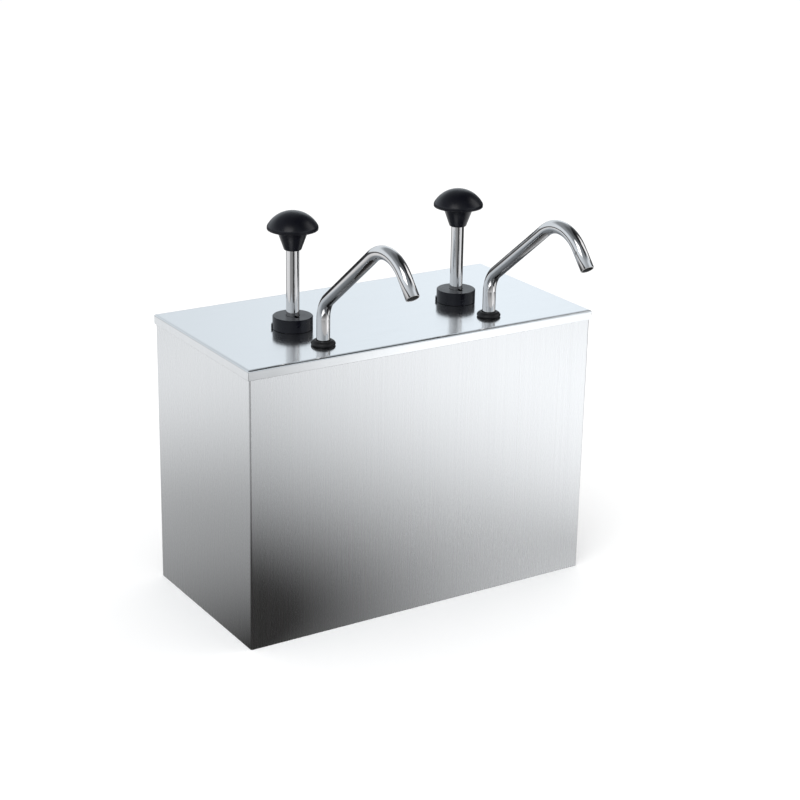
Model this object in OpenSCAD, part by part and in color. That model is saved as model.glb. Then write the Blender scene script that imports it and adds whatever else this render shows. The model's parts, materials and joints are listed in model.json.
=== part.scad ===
// Twin-pump countertop condiment dispenser.
// Millimetres, +Z up. The origin is the centre of the base's underside,
// +X runs along the front, and -Y is the side the spouts serve.

/* [Case] */
// Length of the case along the front
case_l = 360; // [340:1:400]
// Depth of the case
case_w = 182; // [176:1:200]
// Height from the base to the top of the lid
case_h = 262; // [250:1:290]
// Thickness of the steel sheet
sheet = 0.9; // [0.7:0.1:1.2]
// Radius of the folded corners
fold_r = 1.8; // [1.2:0.1:3]

/* [Lid] */
// Overhang of the lid past the case on each side
lid_over = 1.2; // [1.2:0.1:1.6]
// Height of the lid's turned-down edge
skirt_h = 9; // [6:1:14]
// Clearance between parts that lift apart
lift_gap = 0.3; // [0.3:0.05:0.5]

/* [Pumps] */
// Distance of each pump from the middle of the pair
pump_x = 88; // [86:1:90]
// Offset of the pair from the centre of the lid
pump_shift = -2; // [-3:1:3]
// Place of the plunger across the case
rod_y = -5; // [-8:1:0]
// Distance from the plunger to its spout, towards the front
spout_reach = 55; // [50:1:58]
// Diameter of the plunger rod
rod_d = 12; // [10:0.5:14]
// Full stroke of the plunger
stroke = 56; // [40:1:58]
// Gap between the knob and the collar when pressed
knob_gap = 5; // [4:1:12]
// Diameter of the knob
knob_d = 46; // [40:1:50]
// Height of the knob
knob_h = 35.2; // [34:0.1:38]
// Diameter of the locking collar
collar_d = 36.5; // [35:0.5:40]
// Height of the locking collar
collar_h = 11.7; // [11:0.1:14]
// Outer diameter of the pump cylinder
cyl_d = 30; // [29:0.5:31]
// Wall of the pump cylinder
cyl_wall = 1.5; // [1:0.1:2]

/* [Spouts] */
// Outer diameter of the spout tube
tube_d = 12; // [10:0.5:13]
// Wall of the spout tube
tube_wall = 1; // [0.8:0.1:1.5]
// Straight height above the lid before the first bend
neck_h = 24; // [18:1:30]
// Radius of the first bend
bend1_r = 26; // [22:1:34]
// Angle of the first bend
bend1_a = 52; // [45:1:60]
// Length of the rising straight
rise_l = 90; // [70:1:100]
// Radius of the second bend
bend2_r = 36; // [28:1:44]
// Angle of the second bend
bend2_a = 87; // [80:1:95]
// Length of the last straight
tip_l = 20; // [15:1:30]

/* [Tubs] */
// Width of each inner tub
tub_l = 164; // [150:1:166]
// Depth of each inner tub
tub_w = 156; // [146:1:158]
// Height of each inner tub
tub_h = 234; // [200:1:238]
// Wall of each inner tub
tub_wall = 2.5; // [2:0.1:3.5]

/* [Hidden] */
$fn = 64;

steel = "gainsboro";
bright_steel = "silver";
black_plastic = "dimgray";
white_plastic = "whitesmoke";
seal_rubber = "darkslategray";

// Case
flange_w = 6;                        // inward flange along the top edge
return_w = 14;                       // rear returns of the front wrap
pan_flange_h = 14;                   // upstand of the base pan
wrap_top = case_h - sheet - lift_gap;
inner_l = case_l - 2 * sheet;
inner_w = case_w - 2 * sheet;
divider_h = 150;
divider_foot = 3.5;

// Lid openings
neck_hole_d = cyl_d + 0.6;
grommet_hole_d = 18;

// Pump heights
collar_z = case_h + lift_gap;
collar_top = collar_z + collar_h;
knob_z = collar_top + knob_gap + stroke;
cyl_id = cyl_d - 2 * cyl_wall;
cyl_top = case_h + 8.5;
cyl_bottom = 46;
flange_t = 1.5;
gasket_t = 1.5;
cyl_flange_d = 42;

// Plunger
spigot_d = 8;                        // turned-down ends of the rod
spigot_l = 16;
insert_d = 13;
insert_l = 20;
piston_h = 14;
piston_top = 145;                    // at rest
guide_l = 22;
wiper_h = 3.5;
guide_z = cyl_top - 4 - guide_l;
sleeve_d = 17;
piston_z = piston_top - piston_h;
seal_h = 5;
washer_t = 1.6;
nut_h = 6.5;
nut_af = 13;
run_gap = 0.05;                      // running clearance per side

// Valve block
block_z = 12;
block_h = 22;
tower_d = 36;
tower_top = 60;
socket_z = cyl_bottom;
out_tower_d = 22;
out_tower_top = 70;
passage_d = 8;
passage_z = 38;
cage_z = 31;
cage_t = 2;
in_ball_d = 12;
in_seat_z = 16;
in_hole_d = 8;
in_cone_h = 4;
in_room_d = 14.5;
out_ball_d = 11;
out_seat_z = 46;
out_cone_h = 3.4;
out_room_d = 13;
tube_z = 60;                         // lower end of the discharge tube
socket_d = 16;
ball_gap = 0.12;
spout_y = rod_y - spout_reach;

// Spring
coil_d = 20;
wire_d = 1.8;
spring_z = cage_z + cage_t;
spring_end_gap = 0.3;

// A rectangle with exact round corners
module round_rect(l, w, r) {
  square([l - 2 * r, w], center = true);
  square([l, w - 2 * r], center = true);
  for (x = [-1, 1], y = [-1, 1]) translate([x * (l / 2 - r), y * (w / 2 - r)]) circle(r);
}

// A flat-bottomed ring or washer
module ring(d_out, d_in, h) {
  difference() {
    cylinder(d = d_out, h = h);
    translate([0, 0, -1]) cylinder(d = d_in, h = h + 2);
  }
}

module at_pump(side) { translate([side * pump_x + pump_shift, rod_y, 0]) children(); }
module at_spout(side) { translate([side * pump_x + pump_shift, spout_y, 0]) children(); }

// Case: front and both sides folded from one sheet, with rear returns and a top flange
module front_wrap() {
  color(steel) difference() {
    linear_extrude(wrap_top) round_rect(case_l, case_w, fold_r);
    translate([0, 0, -1]) linear_extrude(wrap_top - sheet + 1)
      round_rect(inner_l, inner_w, fold_r - sheet);
    translate([0, 0, wrap_top - sheet - 1]) linear_extrude(sheet + 2)
      square([inner_l - 2 * flange_w, inner_w - 2 * flange_w], center = true);
    translate([-(case_l / 2 - return_w), inner_w / 2 - flange_w - 1, -1])
      cube([case_l - 2 * return_w, flange_w + sheet + 2, wrap_top + 2]);
  }
}

// Rear sheet, spot-welded inside the returns, with its own top flange
module back_panel() {
  panel_l = inner_l - 2 * fold_r;
  panel_top = wrap_top - sheet - 0.1;
  color(steel) {
    translate([-panel_l / 2, inner_w / 2 - sheet, sheet]) cube([panel_l, sheet, panel_top - sheet]);
    translate([-(case_l / 2 - return_w) + 0.5, inner_w / 2 - flange_w, panel_top - sheet])
      cube([case_l - 2 * return_w - 1, flange_w - sheet, sheet]);
  }
}

// Floor of the case, a shallow pan welded inside the walls
module base_pan() {
  pan_w = inner_w - sheet;
  color(steel) translate([0, -sheet / 2, 0]) difference() {
    linear_extrude(pan_flange_h) round_rect(inner_l, pan_w, fold_r - sheet);
    translate([0, 0, sheet]) linear_extrude(pan_flange_h)
      square([inner_l - 2 * sheet, pan_w - 2 * sheet], center = true);
  }
}

// Upright sheet that keeps the two tubs apart
module tub_divider() {
  web_w = tub_w - 20;
  color(steel) {
    translate([-sheet / 2, -web_w / 2, sheet]) cube([sheet, web_w, divider_h]);
    translate([sheet / 2, -web_w / 2, sheet]) cube([divider_foot - sheet / 2, web_w, sheet]);
  }
}

// Lid: a flat sheet with turned-down edges, pierced for the pumps and spouts
module lid() {
  lid_l = case_l + 2 * lid_over;
  lid_w = case_w + 2 * lid_over;
  color(steel) difference() {
    translate([0, 0, case_h - skirt_h]) linear_extrude(skirt_h) round_rect(lid_l, lid_w, fold_r);
    translate([0, 0, case_h - skirt_h - 1]) linear_extrude(skirt_h + 1 - sheet)
      round_rect(lid_l - 2 * sheet, lid_w - 2 * sheet, fold_r - sheet);
    for (side = [-1, 1]) {
      at_pump(side) translate([0, 0, case_h - 5]) cylinder(d = neck_hole_d, h = 10);
      at_spout(side) translate([0, 0, case_h - 5]) cylinder(d = grommet_hole_d, h = 10);
    }
  }
}

// Inner tub with a rolled-out rim
module tub(side) {
  floor_z = sheet + lift_gap;
  rim = 3;
  corner = 12;
  color(white_plastic) translate([side * (tub_l / 2 + 4.5), 0, floor_z]) difference() {
    union() {
      linear_extrude(tub_h) round_rect(tub_l, tub_w, corner);
      translate([0, 0, tub_h - rim]) linear_extrude(rim)
        round_rect(tub_l + 2 * rim, tub_w + 2 * rim, corner + rim);
    }
    translate([0, 0, tub_wall]) linear_extrude(tub_h)
      round_rect(tub_l - 2 * tub_wall, tub_w - 2 * tub_wall, corner - tub_wall);
  }
}

// Knob: a mushroom with a conical neck, a flat underside and a domed crown
module knob(side) {
  rim_r = knob_d / 2;
  neck_r1 = 8;
  neck_r2 = 14.3;
  under_z = 18.2;
  crown_r = 26;
  color(black_plastic) at_pump(side) translate([0, 0, knob_z]) difference() {
    rotate_extrude() union() {
      polygon([[0, 0], [neck_r1 - 1, 0], [neck_r1, 1], [neck_r2, under_z],
        [neck_r2, under_z + 1], [0, under_z + 1]]);
      intersection() {
        translate([0, knob_h - crown_r]) circle(crown_r);
        polygon([[0, under_z], [rim_r - 0.8, under_z], [rim_r, under_z + 0.8],
          [rim_r, knob_h + 1], [0, knob_h + 1]]);
      }
    }
    translate([0, 0, -1]) cylinder(d = insert_d, h = 3 + insert_l);
  }
}

// Threaded brass insert moulded into the knob
module knob_insert(side) {
  color("goldenrod") at_pump(side) translate([0, 0, knob_z + 2]) difference() {
    cylinder(d = insert_d, h = insert_l);
    translate([0, 0, -1]) cylinder(d = spigot_d, h = spigot_l + 1);
  }
}

// Plunger rod with a spigot at each end
module plunger_rod(side) {
  color(bright_steel) at_pump(side) {
    translate([0, 0, piston_top]) cylinder(d = rod_d, h = knob_z + 2 - piston_top);
    translate([0, 0, knob_z + 2]) cylinder(d = spigot_d, h = spigot_l - 1);
    translate([0, 0, piston_z - washer_t - nut_h - 2])
      cylinder(d = spigot_d, h = piston_top - piston_z + washer_t + nut_h + 2);
  }
}

// Piston, grooved for its seal
module piston(side) {
  bore_r = cyl_id / 2;
  color(white_plastic) at_pump(side) translate([0, 0, piston_z]) rotate_extrude()
    polygon([[spigot_d / 2, 0], [bore_r - 1, 0], [bore_r - 1, 4], [bore_r - 3.5, 4],
      [bore_r - 3.5, 4 + seal_h], [bore_r - 0.6, 4 + seal_h], [bore_r - 0.6, piston_h - 1],
      [bore_r - 1.6, piston_h], [spigot_d / 2, piston_h]]);
}

module piston_seal(side) {
  color(seal_rubber) at_pump(side) translate([0, 0, piston_z + 4])
    ring(cyl_id - 2 * run_gap, cyl_id - 7, seal_h);
}

module piston_washer(side) {
  color(bright_steel) at_pump(side) translate([0, 0, piston_z - washer_t])
    ring(24, spigot_d, washer_t);
}

module piston_nut(side) {
  color(bright_steel) at_pump(side) translate([0, 0, piston_z - washer_t - nut_h])
    difference() {
      cylinder(d = nut_af / cos(30), h = nut_h, $fn = 6);
      translate([0, 0, -1]) cylinder(d = spigot_d, h = nut_h + 2);
    }
}

// Sleeve on the rod that stops the piston against the guide
module stop_sleeve(side) {
  color(white_plastic) at_pump(side) translate([0, 0, piston_top])
    ring(sleeve_d, rod_d, guide_z - lift_gap - piston_top);
}

// Quarter-turn collar that clamps the pump to the lid, with a slot beside the rod
module lock_collar(side) {
  crown_t = 2.6;
  lug_l = 2;
  lug_a = 147;
  color(black_plastic) at_pump(side) translate([0, 0, collar_z]) difference() {
    union() {
      rotate_extrude() polygon([[0, 0], [collar_d / 2, 0], [collar_d / 2, collar_h - 0.6],
        [collar_d / 2 - 0.6, collar_h], [0, collar_h]]);
      rotate([0, 0, lug_a]) translate([collar_d / 2 - 1, -2.5, 0]) cube([lug_l, 5, 3.5]);
    }
    translate([0, 0, -1]) cylinder(d = cyl_d + 4 * run_gap, h = collar_h - crown_t + 1);
    translate([0, 0, -1]) cylinder(d = rod_d + 0.8, h = collar_h + 2);
    translate([-2, -rod_d / 2 - 3.6, collar_h - crown_t - 1]) cube([4, 6, crown_t + 2]);
  }
}

// Bush that guides the rod in the top of the cylinder
module rod_guide(side) {
  color(white_plastic) at_pump(side) translate([0, 0, guide_z])
    ring(cyl_id, rod_d + 2 * run_gap, guide_l);
}

module rod_wiper(side) {
  color(seal_rubber) at_pump(side) translate([0, 0, guide_z + guide_l])
    ring(cyl_id, rod_d + 0.4, wiper_h);
}

// Pump cylinder with the flange that bears on the lid from below
module pump_cylinder(side) {
  color(bright_steel) at_pump(side) difference() {
    union() {
      translate([0, 0, cyl_bottom]) cylinder(d = cyl_d, h = cyl_top - cyl_bottom);
      translate([0, 0, case_h - sheet - gasket_t - flange_t])
        cylinder(d = cyl_flange_d, h = flange_t);
    }
    translate([0, 0, cyl_bottom - 1]) cylinder(d = cyl_id, h = cyl_top - cyl_bottom + 2);
  }
}

module lid_gasket(side) {
  color(seal_rubber) at_pump(side) translate([0, 0, case_h - sheet - gasket_t])
    ring(cyl_flange_d - 2, cyl_d, gasket_t);
}

// Envelope of the return spring between the inlet cage and the piston washer
module return_spring(side) {
  color(bright_steel) at_pump(side) translate([0, 0, spring_z + spring_end_gap])
    ring(coil_d, coil_d - 2 * wire_d, piston_z - washer_t - spring_z - 2 * spring_end_gap);
}

// Valve block: inlet tower under the cylinder, outlet tower under the spout tube
module valve_block(side) {
  bar_w = 18;
  color(white_plastic) difference() {
    union() {
      at_pump(side) translate([0, 0, block_z]) cylinder(d = tower_d, h = tower_top - block_z);
      at_spout(side) translate([0, 0, block_z + 12])
        cylinder(d = out_tower_d, h = out_tower_top - block_z - 12);
      at_spout(side) translate([-bar_w / 2, 0, block_z + 16])
        cube([bar_w, spout_reach, block_h]);
    }
    at_pump(side) {
      translate([0, 0, block_z - 1]) cylinder(d = in_hole_d, h = 10);
      translate([0, 0, in_seat_z]) cylinder(d1 = in_hole_d, d2 = in_room_d, h = in_cone_h);
      translate([0, 0, in_seat_z + in_cone_h]) cylinder(d = in_room_d, h = 20);
      translate([0, 0, cage_z]) cylinder(d = cyl_id - 1, h = 40);
      translate([0, 0, socket_z]) cylinder(d = cyl_d, h = 40);
      for (a = [45:90:315]) rotate([0, 0, a]) translate([5, -3, block_z - 1]) cube([20, 6, 3.5]);
    }
    at_pump(side) translate([0, 0, passage_z]) rotate([90, 0, 0])
      cylinder(d = passage_d, h = spout_reach + 20);
    at_spout(side) {
      translate([0, 0, passage_z]) cylinder(d = passage_d, h = 20);
      translate([0, 0, out_seat_z]) cylinder(d1 = passage_d, d2 = out_room_d, h = out_cone_h);
      translate([0, 0, out_seat_z + out_cone_h]) cylinder(d = out_room_d, h = 40);
      translate([0, 0, tube_z]) cylinder(d = socket_d, h = 40);
    }
  }
}

module block_seal(side) {
  color(seal_rubber) at_pump(side) translate([0, 0, tower_top])
    ring(tower_d - 2, cyl_d, 2);
}

module seated_ball(d, seat_d, cone_d, cone_h, z) {
  half = atan((cone_d - seat_d) / 2 / cone_h);      // half angle of the seat
  // A sphere touching a cone sits its radius over sin(half) above the cone's point
  point_z = z - seat_d / 2 / tan(half);
  translate([0, 0, point_z + d / 2 / sin(half) + ball_gap]) sphere(d = d);
}

module inlet_ball(side) {
  color(bright_steel) at_pump(side)
    seated_ball(in_ball_d, in_hole_d, in_room_d, in_cone_h, in_seat_z);
}

module inlet_cage(side) {
  color(bright_steel) at_pump(side) translate([0, 0, cage_z]) difference() {
    cylinder(d = cyl_id - 1.2, h = cage_t);
    for (a = [0:60:300]) rotate([0, 0, a]) translate([5, 0, -1]) cylinder(d = 4, h = 5);
  }
}

module outlet_ball(side) {
  color(bright_steel) at_spout(side)
    seated_ball(out_ball_d, passage_d, out_room_d, out_cone_h, out_seat_z);
}

// Screw plug that closes the drilled passage at the front of the block
module passage_plug(side) {
  plug_l = 5;
  color(bright_steel) at_spout(side) translate([0, -passage_d / 2 - 1, passage_z])
    rotate([90, 0, 0]) difference() {
      union() {
        cylinder(d = passage_d, h = plug_l + 1);
        translate([0, 0, plug_l + 1]) cylinder(d = passage_d + 3, h = 1.6);
      }
      translate([0, 0, plug_l - 1]) cylinder(d = 4.6, h = 6, $fn = 6);
    }
}

// Bend of radius r that turns from straight up towards the front by a degrees
module elbow(r, a) {
  rotate([90, 0, 90]) rotate_extrude(angle = a) translate([r, 0]) difference() {
    circle(d = tube_d);
    circle(d = tube_d - 2 * tube_wall);
  }
}

module straight(l) { ring(tube_d, tube_d - 2 * tube_wall, l); }

// Discharge tube: up from the valve block, through the lid and over to the open tip
module discharge_tube(side) {
  bend_z = case_h + neck_h;
  color(bright_steel) at_spout(side) {
    translate([0, 0, tube_z]) straight(bend_z - tube_z);
    translate([0, -bend1_r, bend_z]) {
      elbow(bend1_r, bend1_a);
      rotate([bend1_a, 0, 0]) translate([0, bend1_r, 0]) {
        straight(rise_l);
        translate([0, -bend2_r, rise_l]) {
          elbow(bend2_r, bend2_a);
          rotate([bend2_a, 0, 0]) translate([0, bend2_r, 0]) straight(tip_l);
        }
      }
    }
  }
}

// Cap nut that clamps the tube and its seal to the outlet tower
module tube_nut(side) {
  nut_d = out_tower_d + 5;
  color(white_plastic) at_spout(side) translate([0, 0, out_tower_top - 10]) difference() {
    cylinder(d = nut_d, h = 13);
    translate([0, 0, -1]) cylinder(d = out_tower_d, h = 11);
    translate([0, 0, -1]) cylinder(d = tube_d, h = 20);
    for (a = [0:30:330]) rotate([0, 0, a]) translate([nut_d / 2 + 0.6, 0, -1])
      cylinder(d = 3, h = 20);
  }
}

module tube_seal(side) {
  color(seal_rubber) at_spout(side) translate([0, 0, out_tower_top - 6])
    ring(socket_d, tube_d, 6);
}

// Grommet that seals the tube where it passes the lid
module spout_grommet(side) {
  lip_d = 22;
  lip_h = 4.6;
  under_h = 2.5;
  neck_d = grommet_hole_d;
  color(black_plastic) at_spout(side) translate([0, 0, case_h]) difference() {
    rotate_extrude() {
      translate([0, -sheet - under_h]) square([lip_d / 2, under_h]);
      translate([0, -sheet]) square([neck_d / 2, sheet]);
      square([lip_d / 2, lip_h - 2.2]);
      square([lip_d / 2 - 2.2, lip_h]);
      translate([lip_d / 2 - 2.2, lip_h - 2.2]) circle(2.2);
    }
    translate([0, 0, -10]) cylinder(d = tube_d, h = 20);
  }
}

front_wrap();
back_panel();
base_pan();
tub_divider();
lid();
for (side = [-1, 1]) {
  tag = side < 0 ? "left" : "right";
  tub(side);
  knob(side);
  knob_insert(side);
  plunger_rod(side);
  piston(side);
  piston_seal(side);
  piston_washer(side);
  piston_nut(side);
  stop_sleeve(side);
  lock_collar(side);
  rod_guide(side);
  rod_wiper(side);
  pump_cylinder(side);
  lid_gasket(side);
  return_spring(side);
  valve_block(side);
  block_seal(side);
  inlet_ball(side);
  inlet_cage(side);
  outlet_ball(side);
  passage_plug(side);
  discharge_tube(side);
  tube_nut(side);
  tube_seal(side);
  spout_grommet(side);
}
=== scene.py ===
import json
import math

import bmesh
import bpy
from mathutils import Matrix, Vector


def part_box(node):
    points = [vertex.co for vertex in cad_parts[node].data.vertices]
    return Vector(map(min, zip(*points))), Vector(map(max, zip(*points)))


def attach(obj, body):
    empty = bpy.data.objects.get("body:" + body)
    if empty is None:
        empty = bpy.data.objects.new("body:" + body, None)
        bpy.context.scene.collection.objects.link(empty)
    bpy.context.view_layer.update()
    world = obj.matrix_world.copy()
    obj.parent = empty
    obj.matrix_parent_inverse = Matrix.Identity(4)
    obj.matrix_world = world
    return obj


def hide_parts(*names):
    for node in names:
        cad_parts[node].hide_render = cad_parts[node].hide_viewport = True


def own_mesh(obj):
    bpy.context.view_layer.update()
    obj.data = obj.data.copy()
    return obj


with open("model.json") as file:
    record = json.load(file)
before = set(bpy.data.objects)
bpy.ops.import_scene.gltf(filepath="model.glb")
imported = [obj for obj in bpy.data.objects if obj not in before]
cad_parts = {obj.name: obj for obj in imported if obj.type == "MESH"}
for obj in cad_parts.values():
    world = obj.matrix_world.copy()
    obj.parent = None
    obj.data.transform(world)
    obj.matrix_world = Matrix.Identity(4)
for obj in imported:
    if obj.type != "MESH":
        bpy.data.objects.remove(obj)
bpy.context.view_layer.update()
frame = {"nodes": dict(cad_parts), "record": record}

MM = 0.001
SIDES = ("left", "right")
SHEET = 0.9 * MM
TUBE_OUTER, TUBE_INNER = 6.0 * MM, 5.0 * MM
# Radii of the lid's round holes, by the node that passes through
HOLES = {"pump_cylinder": 15.3 * MM, "spout_grommet": 9.0 * MM}


# ---------------------------------------------------------------- places taken from the frame

def lo_hi(node):
    """Lowest and highest corner of a CAD node as vectors."""
    low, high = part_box(node)
    return Vector(low), Vector(high)


def centre_of(node):
    low, high = lo_hi(node)
    return (low + high) / 2


LID_LOW, LID_HIGH = lo_hi("lid")
LID_TOP = LID_HIGH.z


# ---------------------------------------------------------------- materials

# Sockets of a Mix node that mixes colours
MIX_FACTOR, MIX_FIRST, MIX_SECOND, MIX_RESULT = 0, 6, 7, 2
# Most noise values lie in this span, which remap stretches
NOISE_LOW, NOISE_HIGH = 0.3, 0.7
FINE_GRAIN = 0.0002


class Shader:
    """A Principled material under construction, with short calls for its procedural nodes."""

    def __init__(self, name, base, roughness, metallic=0.0, **sockets):
        self.material = bpy.data.materials.new(name)
        self.material.use_nodes = True
        self.nodes = self.material.node_tree.nodes
        self.links = self.material.node_tree.links
        self.bsdf = self.nodes["Principled BSDF"]
        self.base = base
        self.put("Base Color", (*base, 1.0))
        self.put("Roughness", roughness)
        self.put("Metallic", metallic)
        for socket, value in sockets.items():
            self.put(socket.replace("_", " "), value)

    def put(self, socket, value):
        self.bsdf.inputs[socket].default_value = value

    def coords(self, scale):
        where = self.nodes.new("ShaderNodeTexCoord")
        mapping = self.nodes.new("ShaderNodeMapping")
        mapping.inputs["Scale"].default_value = scale
        self.links.new(where.outputs["Object"], mapping.inputs["Vector"])
        return mapping.outputs["Vector"]

    def noise(self, scale, detail=4.0):
        """Noise whose grain is 1/scale metres across along each axis."""
        node = self.nodes.new("ShaderNodeTexNoise")
        node.inputs["Scale"].default_value = 1.0
        node.inputs["Detail"].default_value = detail
        node.inputs["Roughness"].default_value = 0.6
        self.links.new(self.coords(scale), node.inputs["Vector"])
        return node.outputs["Fac"]

    def remap(self, value, low, high):
        node = self.nodes.new("ShaderNodeMapRange")
        node.inputs["From Min"].default_value = NOISE_LOW
        node.inputs["From Max"].default_value = NOISE_HIGH
        node.inputs["To Min"].default_value = low
        node.inputs["To Max"].default_value = high
        self.links.new(value, node.inputs["Value"])
        return node.outputs["Result"]

    def rough_from(self, value, low, high):
        self.links.new(self.remap(value, low, high), self.bsdf.inputs["Roughness"])

    def tint_from(self, value, darker, lighter):
        """Base colour that runs from darker to lighter times the plain colour."""
        node = self.nodes.new("ShaderNodeMix")
        node.data_type = "RGBA"
        node.inputs[MIX_FIRST].default_value = (*[c * darker for c in self.base], 1.0)
        node.inputs[MIX_SECOND].default_value = (*[min(1.0, c * lighter) for c in self.base], 1.0)
        self.links.new(self.remap(value, 0.0, 1.0), node.inputs[MIX_FACTOR])
        self.links.new(node.outputs[MIX_RESULT], self.bsdf.inputs["Base Color"])

    def bump_from(self, value, strength, distance=FINE_GRAIN):
        """Bump on top of any bump that is already there."""
        node = self.nodes.new("ShaderNodeBump")
        node.inputs["Strength"].default_value = strength
        node.inputs["Distance"].default_value = distance
        self.links.new(value, node.inputs["Height"])
        last = self.bsdf.inputs["Normal"]
        if last.is_linked:
            self.links.new(last.links[0].from_socket, node.inputs["Normal"])
        self.links.new(node.outputs["Normal"], last)


def case_steel():
    s = Shader("case_steel", (0.80, 0.81, 0.82), 0.26, 1.0, Anisotropic=0.3)
    tangent = s.nodes.new("ShaderNodeTangent")
    tangent.direction_type = "RADIAL"
    tangent.axis = "Z"
    s.links.new(tangent.outputs["Tangent"], s.bsdf.inputs["Tangent"])
    grain = s.noise((1600, 1600, 2), detail=3)
    s.rough_from(grain, 0.26, 0.28)
    s.tint_from(s.noise((900, 900, 1.5), detail=4), 0.994, 1.004)
    s.bump_from(grain, 0.0012)
    s.bump_from(s.noise((6, 6, 5), detail=1), 0.04, 0.003)
    return s.material


def lid_steel():
    s = Shader("lid_steel", (0.71, 0.72, 0.73), 0.16, 1.0)
    s.rough_from(s.noise((30, 1400, 30), detail=4), 0.13, 0.18)
    s.tint_from(s.noise((25, 700, 40), detail=4), 0.98, 1.015)
    s.bump_from(s.noise((9, 9, 9), detail=1), 0.04, 0.002)
    return s.material


def polished_steel():
    s = Shader("polished_steel", (0.64, 0.63, 0.63), 0.08, 1.0)
    s.rough_from(s.noise((260, 260, 60), detail=5), 0.06, 0.10)
    s.tint_from(s.noise((90, 90, 20), detail=3), 0.95, 1.03)
    return s.material


# The tube's bore: dull steel, its base colour darkened far below bare steel as painted shade inside the
# bore
def tube_bore():
    s = Shader("tube_bore", (0.09, 0.09, 0.09), 0.5, 1.0)
    s.rough_from(s.noise((400, 400, 400)), 0.42, 0.6)
    s.tint_from(s.noise((120, 120, 120)), 0.8, 1.2)
    return s.material


def turned_steel():
    s = Shader("turned_steel", (0.66, 0.66, 0.67), 0.22, 1.0)
    rings = s.noise((6, 6, 900), detail=3)
    s.rough_from(rings, 0.19, 0.26)
    s.tint_from(s.noise((20, 20, 120), detail=2), 0.97, 1.02)
    s.bump_from(rings, 0.006)
    return s.material


def spring_steel():
    s = Shader("spring_steel", (0.60, 0.60, 0.62), 0.28, 1.0)
    s.rough_from(s.noise((500, 500, 500), detail=3), 0.2, 0.4)
    s.tint_from(s.noise((150, 150, 150)), 0.85, 1.1)
    return s.material


def brass():
    s = Shader("brass", (0.80, 0.60, 0.28), 0.28, 1.0)
    rings = s.noise((40, 40, 1500), detail=4)
    s.rough_from(rings, 0.2, 0.36)
    s.tint_from(s.noise((120, 120, 120)), 0.88, 1.06)
    s.bump_from(rings, 0.05)
    return s.material


def black_plastic():
    s = Shader("black_plastic", (0.0022, 0.0024, 0.0055), 0.30, Specular_IOR_Level=0.3)
    s.rough_from(s.noise((70, 70, 70), detail=4), 0.26, 0.34)
    s.tint_from(s.noise((40, 40, 40), detail=2), 0.85, 1.3)
    s.bump_from(s.noise((900, 900, 900), detail=3), 0.02)
    return s.material


def grommet_rubber():
    s = Shader("grommet_rubber", (0.004, 0.004, 0.005), 0.42, Specular_IOR_Level=0.35)
    s.rough_from(s.noise((200, 200, 200)), 0.36, 0.52)
    s.tint_from(s.noise((80, 80, 80)), 0.8, 1.4)
    s.bump_from(s.noise((1200, 1200, 1200), detail=2), 0.08)
    return s.material


def seal_rubber():
    s = Shader("seal_rubber", (0.06, 0.06, 0.065), 0.6)
    s.rough_from(s.noise((150, 150, 150)), 0.5, 0.7)
    s.tint_from(s.noise((60, 60, 60)), 0.8, 1.25)
    s.bump_from(s.noise((900, 900, 900), detail=2), 0.1)
    return s.material


def white_acetal():
    s = Shader("white_acetal", (0.72, 0.72, 0.69), 0.36)
    turned = s.noise((60, 60, 1100), detail=3)
    s.rough_from(turned, 0.32, 0.46)
    s.tint_from(s.noise((30, 30, 30), detail=3), 0.95, 1.03)
    s.bump_from(turned, 0.05)
    return s.material


def tub_plastic():
    s = Shader("tub_plastic", (0.70, 0.71, 0.69), 0.40, Subsurface_Weight=0.2)
    s.put("Subsurface Radius", (0.004, 0.004, 0.003))
    s.rough_from(s.noise((120, 120, 120), detail=5), 0.34, 0.5)
    s.tint_from(s.noise((14, 14, 14), detail=2), 0.96, 1.02)
    s.bump_from(s.noise((1400, 1400, 1400), detail=2), 0.05)
    return s.material


MATERIALS = {build.__name__: build() for build in (
    case_steel, lid_steel, polished_steel, tube_bore, turned_steel, spring_steel, brass, black_plastic,
    grommet_rubber, seal_rubber, white_acetal, tub_plastic)}


# ---------------------------------------------------------------- mesh helpers

def sharpen(mesh, degrees):
    """Smooth shading with sharp edges where faces turn by more than the angle."""
    bm = bmesh.new()
    bm.from_mesh(mesh)
    bmesh.ops.recalc_face_normals(bm, faces=bm.faces)
    limit = math.radians(degrees)
    for face in bm.faces:
        face.smooth = True
    for edge in bm.edges:
        edge.smooth = len(edge.link_faces) == 2 and edge.calc_face_angle(0.0) < limit
    bm.to_mesh(mesh)
    bm.free()


def piece(name, vertices, faces, material, body, replaced, sharp=32.0):
    """A detailed piece that rides on a body in place of one CAD node."""
    mesh = bpy.data.meshes.new(name)
    mesh.from_pydata([tuple(v) for v in vertices], [], faces)
    sharpen(mesh, sharp)
    mesh.materials.append(MATERIALS[material])
    obj = bpy.data.objects.new(name, mesh)
    bpy.context.scene.collection.objects.link(obj)
    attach(obj, body)
    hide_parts(replaced)
    return obj


def revolve(profile, x, y, segments=96):
    """Vertices and faces of a profile of (radius, height) points turned about a vertical axis.
    The profile is closed, unless it starts and ends on the axis."""
    on_axis = 1e-7
    vertices, rings = [], []
    for radius, height in profile:
        if radius < on_axis:
            rings.append([len(vertices)] * segments)
            vertices.append((x, y, height))
            continue
        rings.append(list(range(len(vertices), len(vertices) + segments)))
        for i in range(segments):
            a = 2 * math.pi * i / segments
            vertices.append((x + radius * math.cos(a), y + radius * math.sin(a), height))
    faces = []
    open_ended = profile[0][0] < on_axis and profile[-1][0] < on_axis
    pairs = list(zip(rings, rings[1:])) + ([] if open_ended else [(rings[-1], rings[0])])
    for low, high in pairs:
        for i in range(segments):
            j = (i + 1) % segments
            corners = [low[i], low[j], high[j], high[i]]
            face = [c for k, c in enumerate(corners) if c not in corners[:k]]
            if len(face) > 2:
                faces.append(face)
    return vertices, faces


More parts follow.
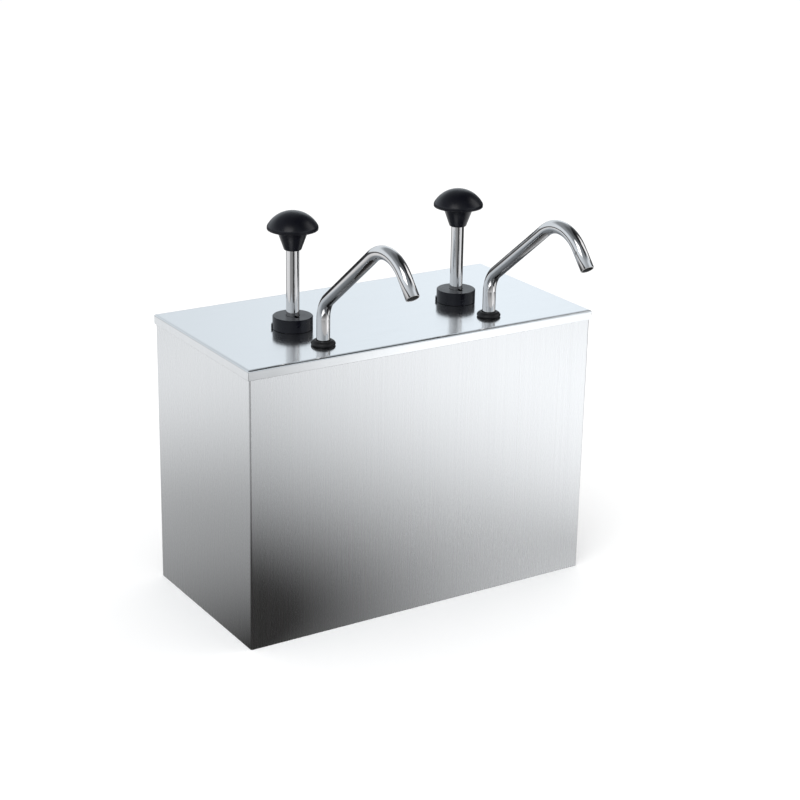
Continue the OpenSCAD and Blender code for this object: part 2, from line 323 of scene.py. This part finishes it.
def arc(cx, cy, radius, start, end, steps):
    """Points of a circular arc in a plane, angles in degrees."""
    out = []
    for i in range(steps + 1):
        a = math.radians(start + (end - start) * i / steps)
        out.append((cx + radius * math.cos(a), cy + radius * math.sin(a)))
    return out


def smooth_curve(points, steps):
    """Catmull-Rom curve through the points, ends included."""
    padded = [points[0]] + list(points) + [points[-1]]
    out = []
    for k in range(1, len(padded) - 2):
        p0, p1, p2, p3 = padded[k - 1:k + 3]
        for i in range(steps):
            t = i / steps
            out.append(tuple(0.5 * (2 * b + (c - a) * t + (2 * a - 5 * b + 4 * c - d) * t * t
                                    + (3 * b - a - 3 * c + d) * t ** 3)
                             for a, b, c, d in zip(p0, p1, p2, p3)))
    out.append(tuple(points[-1]))
    return out


def round_rect(length, width, radius, centre, z):
    """Plan outline of a rectangle with round corners, anticlockwise."""
    corner_steps = 10
    out = []
    for k, (sx, sy) in enumerate(((1, 1), (-1, 1), (-1, -1), (1, -1))):
        cx = centre.x + sx * (length / 2 - radius)
        cy = centre.y + sy * (width / 2 - radius)
        for px, py in arc(cx, cy, radius, 90 * k, 90 * k + 90, corner_steps):
            out.append((px, py, z))
    return out


def loft(rings):
    """Vertices and faces through closed rings of equal length, capped at both ends."""
    vertices = [v for ring in rings for v in ring]
    n = len(rings[0])
    faces = []
    for k in range(len(rings) - 1):
        for i in range(n):
            j = (i + 1) % n
            faces.append([k * n + i, k * n + j, (k + 1) * n + j, (k + 1) * n + i])
    faces.append(list(range(n))[::-1])
    faces.append(list(range((len(rings) - 1) * n, len(rings) * n)))
    return vertices, faces


def bevel(obj, width, angle=40.0):
    """Rounds a piece's hard edges."""
    mod = obj.modifiers.new("edge_radius", "BEVEL")
    mod.width = width
    mod.segments = 2
    mod.limit_method = "ANGLE"
    mod.angle_limit = math.radians(angle)
    mod.harden_normals = True


# ---------------------------------------------------------------- the lid

def folded_strip(vertices, faces, start, end, outward, profile, gap):
    """A bent strip along one side of a rectangle. The profile's points are (outward, height) and
    each end is mitred, so strips on neighbouring sides meet at the corner with a fine seam that
    opens from the corner of the flat top."""
    along = (end - start).normalized()
    first = len(vertices)
    for out, z in profile:
        slip = max(out - gap / 2, 0)
        for point, way in ((start, -1), (end, 1)):
            p = point + along * way * slip + outward * out
            vertices.append((p.x, p.y, z))
    for k in range(len(profile) - 1):
        a = first + 2 * k
        faces.append([a, a + 1, a + 3, a + 2])


def lid_plate(corners):
    """The lid's flat top, as three faces that meet along its two rows of holes."""
    front_left, front_right, back_right, back_left = range(4)
    turn, half = 64, 32
    vertices = [(c.x, c.y, LID_TOP) for c in corners]
    rims = {}
    for node, radius in HOLES.items():
        for side in SIDES:
            c = centre_of(f"{node}_{side}")
            first = len(vertices)
            vertices += [(px, py, LID_TOP) for px, py in arc(c.x, c.y, radius, 0, 360, turn)[:-1]]
            rims[node, side] = list(range(first, first + turn)) + [first]

    def front_halves(node):
        return rims[node, "right"][half:][::-1] + rims[node, "left"][half:][::-1]

    def back_halves(node):
        return rims[node, "left"][:half + 1][::-1] + rims[node, "right"][:half + 1][::-1]

    pumps, spouts = HOLES
    front = [front_left, front_right] + front_halves(spouts)
    middle = ([front_right, back_right] + front_halves(pumps)
              + [back_left, front_left] + back_halves(spouts))
    back = [back_right, back_left] + back_halves(pumps)
    return vertices, [front, middle, back]


def lid_sheet():
    """The lid's sheet: flat top with its four holes, folded edges and mitred corners."""
    fold = 1.6 * MM
    seam = 0.24 * MM
    weld = 0.02 * MM
    half = Vector(((LID_HIGH.x - LID_LOW.x) / 2 - fold, (LID_HIGH.y - LID_LOW.y) / 2 - fold, 0))
    corners = [Vector((sx * half.x, sy * half.y, 0)) for sx, sy in ((-1, -1), (1, -1), (1, 1), (-1, 1))]
    vertices, faces = lid_plate(corners)
    profile = arc(0, LID_TOP - fold, fold, 90, 0, 6) + [(fold, LID_LOW.z)]
    for k, corner in enumerate(corners):
        after = corners[(k + 1) % 4]
        along = (after - corner).normalized()
        outward = Vector((along.y, -along.x, 0))
        folded_strip(vertices, faces, corner, after, outward, profile, seam)
    obj = piece("lid_sheet", vertices, faces, "lid_steel", "lid", "lid", sharp=50)
    bm = bmesh.new()
    bm.from_mesh(obj.data)
    bmesh.ops.remove_doubles(bm, verts=bm.verts, dist=weld)
    bm.to_mesh(obj.data)
    bm.free()
    mod = obj.modifiers.new("thickness", "SOLIDIFY")
    mod.thickness = SHEET
    mod.offset = -1
    bevel(obj, 0.3 * MM, angle=50)
    obj.modifiers.new("flat_faces", "WEIGHTED_NORMAL").keep_sharp = True


# ---------------------------------------------------------------- the pumps

def knob(side):
    """The mushroom knob, turned from one outline in mm, with a recess in its foot."""
    low, high = lo_hi(f"knob_{side}")
    c = centre_of(f"knob_{side}")
    recess, recess_depth = 6.6, 4.0
    brim, lip, lip_height = 21.9, 1.1, 19.3
    crown = 26.0
    top = (high.z - low.z) / MM
    outline = [(0.0, recess_depth), (recess, recess_depth), (recess, 0.0), (7.3, 0.0), (7.8, 0.3),
               (8.1, 0.9), (11.2, 9.6), (14.0, 17.2), (14.5, 17.9), (15.6, 18.2), (brim, 18.2)]
    outline += arc(brim, lip_height, lip, -80, 0, 6)
    outline += [(23.0, 20.4)] + arc(0.0, top - crown, crown, 28.5, 90, 40)
    outline = [(px * MM, low.z + pz * MM) for px, pz in outline]
    outline[-1] = (0.0, high.z)
    vertices, faces = revolve(outline, c.x, c.y)
    piece(f"knob_cap_{side}", vertices, faces, "black_plastic", f"plunger_{side}", f"knob_{side}",
          sharp=50)


def rod(side):
    """The plunger's rod, with a thinner spigot at each end for the piston and the knob's insert."""
    low, high = lo_hi(f"plunger_rod_{side}")
    c = centre_of(f"plunger_rod_{side}")
    spigot = 4.0 * MM
    chamfer = 0.4 * MM
    r = (high.x - low.x) / 2
    shoulder_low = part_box(f"piston_{side}")[1][2]
    shoulder_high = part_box(f"knob_insert_{side}")[0][2]
    profile = [(0, low.z), (spigot - chamfer, low.z), (spigot, low.z + chamfer), (spigot, shoulder_low),
               (r, shoulder_low), (r, shoulder_high - chamfer), (r - chamfer, shoulder_high),
               (spigot, shoulder_high), (spigot, high.z - chamfer), (spigot - chamfer, high.z),
               (0, high.z)]
    vertices, faces = revolve(profile, c.x, c.y, 64)
    piece(f"rod_{side}", vertices, faces, "polished_steel", f"plunger_{side}", f"plunger_rod_{side}")


def spout_path():
    """Centre line of a spout from its foot to its tip, as (forward, height), in metres."""
    neck, slant, tip = 24, 90, 20
    # Straight length before each bend, the bend's radius, both in mm, and how far it turns down
    bends = ((0, 26, 52), (slant, 36, 87))
    degrees_per_step = 3
    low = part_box("discharge_tube_left")[0][2]
    points, heading = [(0.0, low), (0.0, LID_TOP + neck * MM)], 90.0
    for straight, radius, turn in bends:
        x, z = points[-1]
        x += straight * MM * math.cos(math.radians(heading))
        z += straight * MM * math.sin(math.radians(heading))
        if straight:
            points.append((x, z))
        cx = x + radius * MM * math.sin(math.radians(heading))
        cz = z - radius * MM * math.cos(math.radians(heading))
        steps = int(turn / degrees_per_step)
        for i in range(1, steps + 1):
            a = math.radians(heading + 90 - turn * i / steps)
            points.append((cx + radius * MM * math.cos(a), cz + radius * MM * math.sin(a)))
        heading -= turn
    x, z = points[-1]
    points.append((x + tip * MM * math.cos(math.radians(heading)),
                   z + tip * MM * math.sin(math.radians(heading))))
    return points


def spout(side):
    """The tube swept along its path, open at both ends with rounded lips."""
    lip = 0.2 * MM
    around = 48
    foot = centre_of(f"spout_grommet_{side}")
    # An end of the tube, as (distance in from the end, radius), from the bore's rim outwards
    end_rings = [(0, TUBE_INNER + lip), (0, TUBE_OUTER - lip), (lip, TUBE_OUTER)]
    vertices, faces, rings = [], [], []

    def add_ring(point, tangent, radius):
        across = Vector((1, 0, 0))
        up = tangent.cross(across).normalized()
        rings.append(list(range(len(vertices), len(vertices) + around)))
        for i in range(around):
            a = 2 * math.pi * i / around
            vertices.append(point + across * radius * math.cos(a) + up * radius * math.sin(a))

    points = [Vector((foot.x, foot.y - forward, z)) for forward, z in spout_path()]
    tangents = [(b - a).normalized() for a, b in zip(points, points[1:])]
    between = [(a + b).normalized() for a, b in zip(tangents, tangents[1:])]
    ways = [tangents[0]] + between + [tangents[-1]]
    for inset, radius in end_rings:
        add_ring(points[0] + ways[0] * inset, ways[0], radius)
    for p, w in zip(points[1:-1], ways[1:-1]):
        add_ring(p, w, TUBE_OUTER)
    for inset, radius in reversed(end_rings):
        add_ring(points[-1] - ways[-1] * inset, ways[-1], radius)
    bore_start = len(rings)
    add_ring(points[-1] - ways[-1] * lip, ways[-1], TUBE_INNER)
    for p, w in zip(reversed(points[1:-1]), reversed(ways[1:-1])):
        add_ring(p, w, TUBE_INNER)
    add_ring(points[0] + ways[0] * lip, ways[0], TUBE_INNER)
    for low, high in zip(rings, rings[1:] + rings[:1]):
        for i in range(around):
            j = (i + 1) % around
            faces.append([low[i], low[j], high[j], high[i]])
    obj = piece(f"spout_{side}", vertices, faces, "polished_steel", "lid", f"discharge_tube_{side}",
                sharp=50)
    # The bore's faces take the dull bore steel, darkened as painted shade
    obj.data.materials.append(MATERIALS["tube_bore"])
    for face in obj.data.polygons[bore_start * around:]:
        face.material_index = 1


def grommet(side):
    """The rubber ring round the spout: a domed collar above the lid and a flange under it."""
    low, high = lo_hi(f"spout_grommet_{side}")
    c = centre_of(f"spout_grommet_{side}")
    r = (high.x - low.x) / 2
    groove = HOLES["spout_grommet"]
    under = LID_TOP - SHEET
    dome = smooth_curve([(r - 0.9 * MM, LID_TOP), (r, LID_TOP + 1.3 * MM),
                         (r - 0.7 * MM, LID_TOP + 3.0 * MM), (r - 2.6 * MM, high.z - 0.2 * MM),
                         (TUBE_OUTER + 1.0 * MM, high.z), (TUBE_OUTER, high.z - 0.8 * MM)], 5)
    profile = dome + [(TUBE_OUTER, low.z), (r - 0.6 * MM, low.z), (r, low.z + 0.6 * MM), (r, under),
                      (groove, under), (groove, LID_TOP)]
    vertices, faces = revolve(profile, c.x, c.y)
    piece(f"grommet_{side}", vertices, faces, "grommet_rubber", "lid", f"spout_grommet_{side}", sharp=60)


def spring(side):
    """The return spring as a real coil with closed ends."""
    low, high = lo_hi(f"return_spring_{side}")
    c = centre_of(f"return_spring_{side}")
    wire = 0.9 * MM
    radius = (high.x - low.x) / 2 - wire
    turns, closed_turns, steps_per_turn, around = 11, 1.0, 36, 10
    bottom, top = low.z + wire, high.z - wire
    steps = turns * steps_per_turn
    # Shares of the wire's length and of the height that the closed turn at each end takes
    end = closed_turns / turns
    end_rise = 2 * wire / (top - bottom) * closed_turns

    def height(t):
        if t < end:
            return bottom + (top - bottom) * end_rise * t / end
        if t > 1 - end:
            return top - (top - bottom) * end_rise * (1 - t) / end
        return bottom + (top - bottom) * (end_rise + (1 - 2 * end_rise) * (t - end) / (1 - 2 * end))

    points = []
    for k in range(steps + 1):
        t = k / steps
        a = 2 * math.pi * turns * t
        points.append(Vector((c.x + radius * math.cos(a), c.y + radius * math.sin(a), height(t))))
    rings = []
    for k, p in enumerate(points):
        way = (points[min(k + 1, steps)] - points[max(k - 1, 0)]).normalized()
        out = Vector((p.x - c.x, p.y - c.y, 0)).normalized()
        up = way.cross(out).normalized()
        ring = []
        for i in range(around):
            b = 2 * math.pi * i / around
            q = p + out * wire * math.cos(b) + up * wire * math.sin(b)
            ring.append((q.x, q.y, q.z))
        rings.append(ring)
    vertices, faces = loft(rings)
    obj = piece(f"coil_{side}", vertices, faces, "spring_steel", "lid", f"return_spring_{side}")
    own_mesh(obj)


# ---------------------------------------------------------------- the tubs

def tub(side):
    """An open tub, lofted up its outside, over its rim and down its inside to the floor."""
    low, high = lo_hi(f"tub_{side}")
    c = (low + high) / 2
    rim = 3 * MM
    wall = 2.5 * MM
    length = high.x - low.x - 2 * rim
    width = high.y - low.y - 2 * rim
    corner, least_corner = 12 * MM, 1 * MM
    foot = 5 * MM
    outer_lip, inner_lip = 1.2 * MM, 1.0 * MM
    rings = []

    def ring(inset, z):
        radius = max(corner - inset, least_corner)
        rings.append(round_rect(length - 2 * inset, width - 2 * inset, radius, c, z))

    for px, pz in arc(0, 0, foot, -90, 0, 6):
        ring(foot - px, low.z + foot + pz)
    ring(0, high.z - rim - 1 * MM)
    ring(-0.4 * MM, high.z - rim - 0.2 * MM)
    ring(-rim + 0.6 * MM, high.z - rim)
    ring(-rim, high.z - rim + 0.6 * MM)
    for px, pz in arc(0, 0, outer_lip, 0, 90, 5):
        ring(-rim + outer_lip - px, high.z - outer_lip + pz)
    for px, pz in arc(0, 0, inner_lip, 90, 180, 5):
        ring(wall - inner_lip - px, high.z - inner_lip + pz)
    for px, pz in arc(0, 0, foot, 0, -90, 6):
        ring(wall + foot - px, low.z + wall + foot + pz)
    vertices, faces = loft(rings)
    piece(f"tub_shell_{side}", vertices, faces, "tub_plastic", f"tub_{side}", f"tub_{side}", sharp=60)


# ---------------------------------------------------------------- all the pieces

# Edge radii in mm of the CAD nodes that are kept and have hard edges
PUMP_EDGES = {"lock_collar": 0.5, "valve_block": 0.6, "tube_nut": 0.3, "piston": 0.2, "piston_nut": 0.3,
              "pump_cylinder": 0.25, "passage_plug": 0.2, "inlet_cage": 0.2}
CASE_EDGES = {"front_wrap": 0.2, "back_panel": 0.2, "base_pan": 0.2, "tub_divider": 0.2}


def dress_cad_nodes():
    slot_of = {s["node"]: s["material_slot"] for s in frame["record"]["subparts"]}
    for name, obj in frame["nodes"].items():
        obj.data.materials.clear()
        obj.data.materials.append(MATERIALS[slot_of[name]])


def make_pieces():
    lid_sheet()
    for side in SIDES:
        knob(side)
        rod(side)
        spout(side)
        grommet(side)
        spring(side)
        tub(side)
        for node, width in PUMP_EDGES.items():
            bevel(frame["nodes"][f"{node}_{side}"], width * MM)
    for node, width in CASE_EDGES.items():
        bevel(frame["nodes"][node], width * MM)


# ---------------------------------------------------------------- studio

# Place in metres, angles in degrees, lens in mm
CAMERA = dict(place=(-0.8894, -1.4434, 0.7876), azimuth=-32.469, elevation=19.836, roll=1.115,
              lens=86.2)
FLOOR_HALF = 20
FLOOR_DROP = 0.0002
PLAIN_WHITE = 1.04
# Both lights point here
LIT_POINT = (0, 0, 0.15)
# The painted dark colour that the steel mirrors from the patches of shade, which only reflections see
PAINTED_SHADE_DARK = (0.022, 0.021, 0.02, 1)

# What the steel mirrors round the compass, as (degrees anticlockwise from +X, brightness): the table,
# the boxes and flags that stand round it up to the horizon, and those above the horizon
TABLE = [(-180, 0.9), (-110, 0.8), (-78, 0.78), (-66, 0.48), (-61, 0.6), (-57, 2.45), (-52, 1.62),
         (-40, 1.5), (10, 1.1), (60, 1.0), (116, 1.0), (180, 0.9)]
ROUND = [(-180, 1.05), (-172, 1.1), (-167, 0.44), (-118, 0.34), (-112, 0.04), (-86, 0.04),
         (-80, 1.0), (-62, 0.88), (-56, 1.6), (-50, 1.55), (-46, 0.9), (-40, 0.05), (26, 0.05),
         (36, 0.98), (66, 0.9), (78, 0.25), (104, 0.25), (114, 1.08), (180, 1.05)]
ABOVE = [(-180, 1.06), (-140, 0.84), (-112, 0.56), (-86, 0.56), (-70, 1.0), (-36, 1.1), (-26, 0.12),
         (36, 0.12), (46, 1.03), (54, 1.17), (66, 0.95), (120, 1.06), (180, 1.06)]
# A dark gap just under the horizon, by height from straight down at 0 to straight up at 1
GAP = [(0.0, 1.0), (0.39, 1.0), (0.42, 0.12), (0.475, 0.12), (0.51, 1.0), (1.0, 1.0)]
# The ceiling, by height from the horizon at 0 to straight up at 1
CEILING = [(0.0, 0.40), (0.62, 0.40), (0.80, 0.36), (0.90, 0.2), (1.0, 0.12)]
# A dark flag overhead: how much of the ceiling it lets through round the compass, and how far it
# counts by height from the horizon
OVERHEAD = [(-180, 1.0), (-80, 1.0), (-60, 0.1), (34, 0.1), (48, 1.0), (180, 1.0)]
OVERHEAD_REACH = [(0.0, 0.0), (0.42, 0.0), (0.55, 1.0), (1.0, 1.0)]
# Heights, as the sine of the elevation, between which one band fades into the next
TABLE_TO_ROUND = (-0.335, -0.30)
ROUND_TO_ABOVE = (-0.01, 0.03)
ABOVE_TO_CEILING = (0.42, 0.60)
# Tints of everything mirrored, and once more of what lies above the horizon
NEARLY_WHITE = (0.98, 0.99, 1)
COOL = (0.944, 1.006, 1.055, 1.0)


def camera():
    a, e, r = (math.radians(CAMERA[k]) for k in ("azimuth", "elevation", "roll"))
    forward = Vector((-math.sin(a) * math.cos(e), math.cos(a) * math.cos(e), -math.sin(e)))
    right = Vector((math.cos(a), math.sin(a), 0))
    up = right.cross(forward)
    tilted = right * math.cos(r) + up * math.sin(r)
    top = tilted.cross(forward)
    cam = bpy.data.cameras.new("camera")
    cam.lens = CAMERA["lens"]
    cam.sensor_width = 36
    cam.clip_start = 0.05
    cam.clip_end = 100
    obj = bpy.data.objects.new("camera", cam)
    turn = Matrix((tilted, top, -forward)).transposed().to_4x4()
    obj.matrix_world = Matrix.Translation(CAMERA["place"]) @ turn
    bpy.context.scene.collection.objects.link(obj)
    bpy.context.scene.camera = obj


def staged_square(name, half, place, material):
    """A flat square of the studio, from its half side and the place of its middle."""
    mesh = bpy.data.meshes.new(name)
    mesh.from_pydata([(-half, -half, 0), (half, -half, 0), (half, half, 0), (-half, half, 0)], [],
                     [(0, 1, 2, 3)])
    mesh.materials.append(material)
    obj = bpy.data.objects.new(name, mesh)
    bpy.context.scene.collection.objects.link(obj)
    obj.location = place
    return obj


def floor():
    s = Shader("floor_paint", (0.96, 0.96, 0.96), 0.9, Specular_IOR_Level=0.0)
    s.tint_from(s.noise((1.5, 1.5, 1.5), detail=2), 0.995, 1.005)
    obj = staged_square("floor", FLOOR_HALF, (0, 0, -FLOOR_DROP), s.material)
    obj.visible_glossy = False


def painted_shade_patch(name, place, core, reach, depth):
    """A soft dark patch that only reflections see, painting a dark reflection of shade onto the steel.
    It is darkest inside its core's radius and fades out at its reach."""
    falloff = 1.8
    material = bpy.data.materials.new(name)
    material.use_nodes = True
    nodes, links = material.node_tree.nodes, material.node_tree.links
    nodes.clear()
    where = nodes.new("ShaderNodeTexCoord")
    length = nodes.new("ShaderNodeVectorMath")
    length.operation = "LENGTH"
    links.new(where.outputs["Object"], length.inputs[0])
    fade = nodes.new("ShaderNodeMapRange")
    fade.inputs["From Min"].default_value = core
    fade.inputs["From Max"].default_value = reach
    fade.inputs["To Min"].default_value = depth
    fade.inputs["To Max"].default_value = 0.0
    links.new(length.outputs["Value"], fade.inputs["Value"])
    curve = nodes.new("ShaderNodeMath")
    curve.operation = "POWER"
    curve.inputs[1].default_value = falloff
    links.new(fade.outputs["Result"], curve.inputs[0])
    clear = nodes.new("ShaderNodeBsdfTransparent")
    dark = nodes.new("ShaderNodeEmission")
    dark.inputs["Color"].default_value = PAINTED_SHADE_DARK
    mix = nodes.new("ShaderNodeMixShader")
    out = nodes.new("ShaderNodeOutputMaterial")
    links.new(curve.outputs[0], mix.inputs[0])
    links.new(clear.outputs[0], mix.inputs[1])
    links.new(dark.outputs[0], mix.inputs[2])
    links.new(mix.outputs[0], out.inputs[0])
    obj = staged_square(name, reach, place, material)
    # Hidden from all but reflections: the patch is painted shade mirrored in the steel
    obj.visible_camera = obj.visible_diffuse = obj.visible_shadow = False


def area_light(name, place, size, power):
    light = bpy.data.lights.new(name, "AREA")
    light.shape = "RECTANGLE"
    light.size, light.size_y = size
    light.energy = power
    obj = bpy.data.objects.new(name, light)
    obj.location = place
    obj.rotation_mode = "QUATERNION"
    obj.rotation_quaternion = (Vector(LIT_POINT) - Vector(place)).to_track_quat("-Z", "Y")
    bpy.context.scene.collection.objects.link(obj)


def room():
    """White all round to the eye, with the flags and dark ceiling of a product studio for steel."""
    world = bpy.data.worlds.new("studio")
    world.use_nodes = True
    nodes, links = world.node_tree.nodes, world.node_tree.links

    def span(value, low, high):
        """0 to 1 as the value goes from low to high."""
        node = nodes.new("ShaderNodeMapRange")
        node.inputs["From Min"].default_value = low
        node.inputs["From Max"].default_value = high
        links.new(value, node.inputs["Value"])
        return node.outputs["Result"]

    def ramp(value, stops):
        """Nearly grey levels at stops along the value's 0 to 1."""
        node = nodes.new("ShaderNodeValToRGB")
        elements = node.color_ramp.elements
        for k, (place, level) in enumerate(stops):
            stop = elements[k] if k < 2 else elements.new(1.0)
            stop.position = place
            stop.color = (*[level * tint for tint in NEARLY_WHITE], 1)
        links.new(value, node.inputs["Fac"])
        return node.outputs["Color"]

    def mix(fac, first, second, blend="MIX"):
        node = nodes.new("ShaderNodeMix")
        node.data_type = "RGBA"
        node.blend_type = blend
        for socket, value in ((MIX_FACTOR, fac), (MIX_FIRST, first), (MIX_SECOND, second)):
            if isinstance(value, (float, tuple)):
                node.inputs[socket].default_value = value
            else:
                links.new(value, node.inputs[socket])
        return node.outputs[MIX_RESULT]

    def times(first, second):
        return mix(1.0, first, second, "MULTIPLY")

    def compass(stops):
        return ramp(turn, [((degrees + 180) / 360, level) for degrees, level in stops])

    where = nodes.new("ShaderNodeTexCoord")
    split = nodes.new("ShaderNodeSeparateXYZ")
    links.new(where.outputs["Generated"], split.inputs[0])
    angle = nodes.new("ShaderNodeMath")
    angle.operation = "ARCTAN2"
    links.new(split.outputs["Y"], angle.inputs[0])
    links.new(split.outputs["X"], angle.inputs[1])
    turn = span(angle.outputs[0], -math.pi, math.pi)
    height = split.outputs["Z"]
    walls = times(compass(ROUND), ramp(span(height, -1, 1), GAP))
    lower = mix(span(height, *TABLE_TO_ROUND), compass(TABLE), walls)
    ceiling = ramp(height, CEILING)
    flagged = times(ceiling, compass(OVERHEAD))
    over = mix(ramp(height, OVERHEAD_REACH), ceiling, flagged)
    upper = mix(span(height, *ABOVE_TO_CEILING), compass(ABOVE), over)
    whole = mix(span(height, *ROUND_TO_ABOVE), lower, times(upper, COOL))
    mirrored = nodes.new("ShaderNodeBackground")
    links.new(whole, mirrored.inputs["Color"])
    plain = nodes["Background"]
    plain.inputs["Color"].default_value = (1, 1, 1, 1)
    plain.inputs["Strength"].default_value = PLAIN_WHITE
    path = nodes.new("ShaderNodeLightPath")
    by_ray = nodes.new("ShaderNodeMixShader")
    links.new(path.outputs["Is Glossy Ray"], by_ray.inputs[0])
    links.new(plain.outputs[0], by_ray.inputs[1])
    links.new(mirrored.outputs[0], by_ray.inputs[2])
    links.new(by_ray.outputs[0], nodes["World Output"].inputs["Surface"])
    bpy.context.scene.world = world


def studio():
    """The surroundings, three patches of painted shade that only the steel's reflections see, just clear
    of each other, and two lights.
    """
    room()
    painted_shade_patch("shade_near", (-0.20, -0.20, -0.00010), core=0.11, reach=0.88, depth=1.0)
    painted_shade_patch("shade_side", (-0.34, 0.22, -0.00008), core=0.05, reach=0.5, depth=0.52)
    painted_shade_patch("shade_far", (0.22, -0.13, -0.00006), core=0.02, reach=0.24, depth=0.45)
    bpy.context.scene.view_settings.view_transform = "Standard"
    area_light("key", (-1.6, -1.2, 2.2), (1.4, 1.4), 16)
    area_light("fill", (2.0, -0.6, 1.6), (1.2, 1.6), 8)


camera()
floor()
studio()
dress_cad_nodes()
make_pieces()
